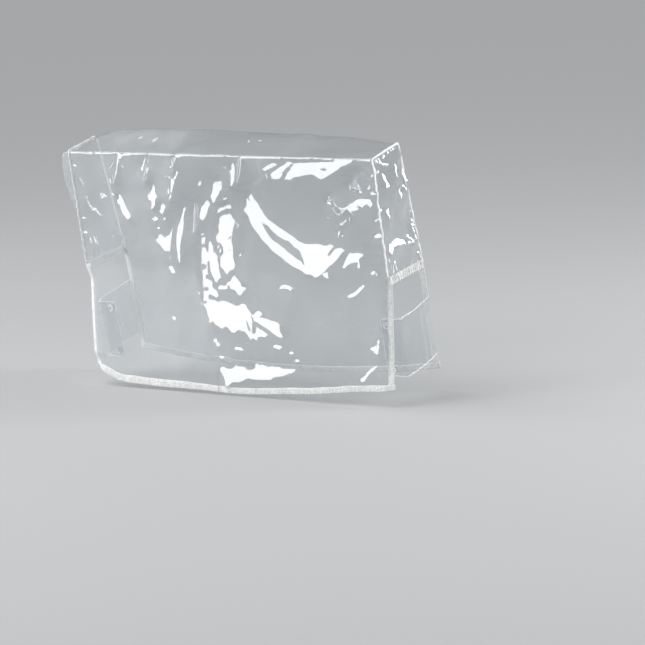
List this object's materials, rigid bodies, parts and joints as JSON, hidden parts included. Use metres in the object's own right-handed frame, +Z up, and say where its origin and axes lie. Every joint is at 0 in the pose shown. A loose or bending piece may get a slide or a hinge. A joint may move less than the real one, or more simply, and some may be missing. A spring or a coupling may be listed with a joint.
{
  "type": "salon chair back cover",
  "caption": "Clear vinyl cover that slips over the backrest of a styling chair, with side slits edged in white tape and snap-down tabs behind.",
  "frame": {"origin": "middle of the inner face of the top panel, where it rests on the backrest", "axes": "+X across the cover to the sitter's right, +Y towards the sitter, +Z up"},
  "size_m": [0.4846, 0.1576, 0.3397],
  "materials": {
    "clear_film": "clear soft vinyl sheet, glossy",
    "white_tape": "white folded binding tape, fine rib",
    "white_elastic": "flat elastic inside the gathered tape",
    "seam_vinyl": "welded seam ridge, milky",
    "clear_stud": "clear moulded press stud"
  },
  "bodies": {
    "cover": {"back_hem_tape": "white_tape", "back_left_slit_tape": "white_tape", "back_right_slit_tape": "white_tape", "front_hem_tape": "white_tape", "front_left_slit_tape": "white_tape", "front_right_slit_tape": "white_tape", "left_gusset": "clear_film", "left_gusset_elastic": "white_elastic", "left_gusset_tape": "white_tape", "left_lower_skirt_cap": "clear_stud", "left_lower_skirt_socket": "clear_stud", "left_seam_piping": "seam_vinyl", "left_upper_skirt_cap": "clear_stud", "left_upper_skirt_socket": "clear_stud", "main_sheet": "clear_film", "right_gusset": "clear_film", "right_gusset_elastic": "white_elastic", "right_gusset_tape": "white_tape", "right_lower_skirt_cap": "clear_stud", "right_lower_skirt_socket": "clear_stud", "right_seam_piping": "seam_vinyl", "right_upper_skirt_cap": "clear_stud", "right_upper_skirt_socket": "clear_stud"},
    "left_tab_body": {"left_lower_tab_cap": "clear_stud", "left_lower_tab_stud": "clear_stud", "left_tab": "clear_film", "left_upper_tab_cap": "clear_stud", "left_upper_tab_stud": "clear_stud"},
    "right_tab_body": {"right_lower_tab_cap": "clear_stud", "right_lower_tab_stud": "clear_stud", "right_tab": "clear_film", "right_upper_tab_cap": "clear_stud", "right_upper_tab_stud": "clear_stud"}
  },
  "joints": [
    {"name": "right_tab_fold", "type": "hinge", "parent": "cover", "child": "right_tab_body", "pos_m": [0.24135, 0.0962, -0.20281], "axis": [0, -0.2233, 0.9748], "range_deg": [0, 120]},
    {"name": "left_tab_fold", "type": "hinge", "parent": "cover", "child": "left_tab_body", "pos_m": [-0.24135, 0.0962, -0.20281], "axis": [0, 0.2233, -0.9748], "range_deg": [0, 120]}
  ]
}
